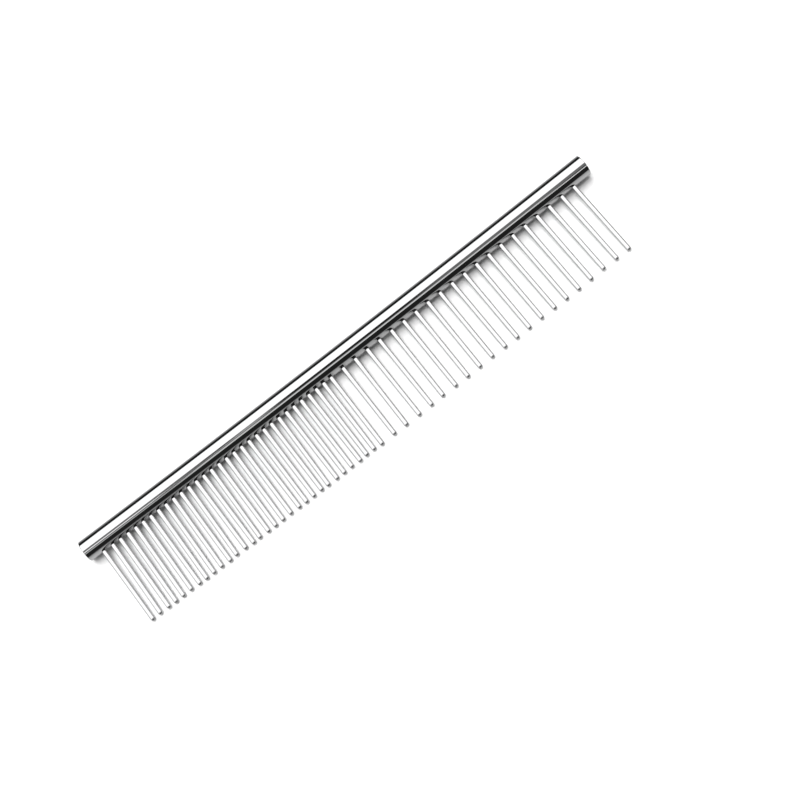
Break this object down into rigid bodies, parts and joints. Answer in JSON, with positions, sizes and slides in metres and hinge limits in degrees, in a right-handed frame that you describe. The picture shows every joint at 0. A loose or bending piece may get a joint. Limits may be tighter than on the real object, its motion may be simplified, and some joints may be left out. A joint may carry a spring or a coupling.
{
  "type": "pet grooming comb",
  "caption": "Steel grooming comb: a straight round bar spine with one row of round pins, close-set on one half and wide-set on the other.",
  "frame": {"origin": "centre of the flat end of the spine beside the fine pins", "axes": "+X along the spine to the centre of its other end, -Y along the pins from root to tip, +Z the thickness"},
  "size_m": [0.1905, 0.0336, 0.007],
  "materials": {
    "chrome_plate": "bright chrome plate over a polished bar",
    "polished_pin_steel": "polished plated pin wire"
  },
  "bodies": {
    "root": {"spine": "chrome_plate", "fine_pin_01": "polished_pin_steel", "fine_pin_02": "polished_pin_steel", "fine_pin_03": "polished_pin_steel", "fine_pin_04": "polished_pin_steel", "fine_pin_05": "polished_pin_steel", "fine_pin_06": "polished_pin_steel", "fine_pin_07": "polished_pin_steel", "fine_pin_08": "polished_pin_steel", "fine_pin_09": "polished_pin_steel", "fine_pin_10": "polished_pin_steel", "fine_pin_11": "polished_pin_steel", "fine_pin_12": "polished_pin_steel", "fine_pin_13": "polished_pin_steel", "fine_pin_14": "polished_pin_steel", "fine_pin_15": "polished_pin_steel", "fine_pin_16": "polished_pin_steel", "fine_pin_17": "polished_pin_steel", "fine_pin_18": "polished_pin_steel", "fine_pin_19": "polished_pin_steel", "fine_pin_20": "polished_pin_steel", "fine_pin_21": "polished_pin_steel", "fine_pin_22": "polished_pin_steel", "fine_pin_23": "polished_pin_steel", "fine_pin_24": "polished_pin_steel", "fine_pin_25": "polished_pin_steel", "fine_pin_26": "polished_pin_steel", "fine_pin_27": "polished_pin_steel", "fine_pin_28": "polished_pin_steel", "fine_pin_29": "polished_pin_steel", "fine_pin_30": "polished_pin_steel", "fine_pin_31": "polished_pin_steel", "coarse_pin_01": "polished_pin_steel", "coarse_pin_02": "polished_pin_steel", "coarse_pin_03": "polished_pin_steel", "coarse_pin_04": "polished_pin_steel", "coarse_pin_05": "polished_pin_steel", "coarse_pin_06": "polished_pin_steel", "coarse_pin_07": "polished_pin_steel", "coarse_pin_08": "polished_pin_steel", "coarse_pin_09": "polished_pin_steel", "coarse_pin_10": "polished_pin_steel", "coarse_pin_11": "polished_pin_steel", "coarse_pin_12": "polished_pin_steel", "coarse_pin_13": "polished_pin_steel", "coarse_pin_14": "polished_pin_steel", "coarse_pin_15": "polished_pin_steel", "coarse_pin_16": "polished_pin_steel", "coarse_pin_17": "polished_pin_steel", "coarse_pin_18": "polished_pin_steel", "coarse_pin_19": "polished_pin_steel", "coarse_pin_20": "polished_pin_steel"}
  },
  "joints": []
}
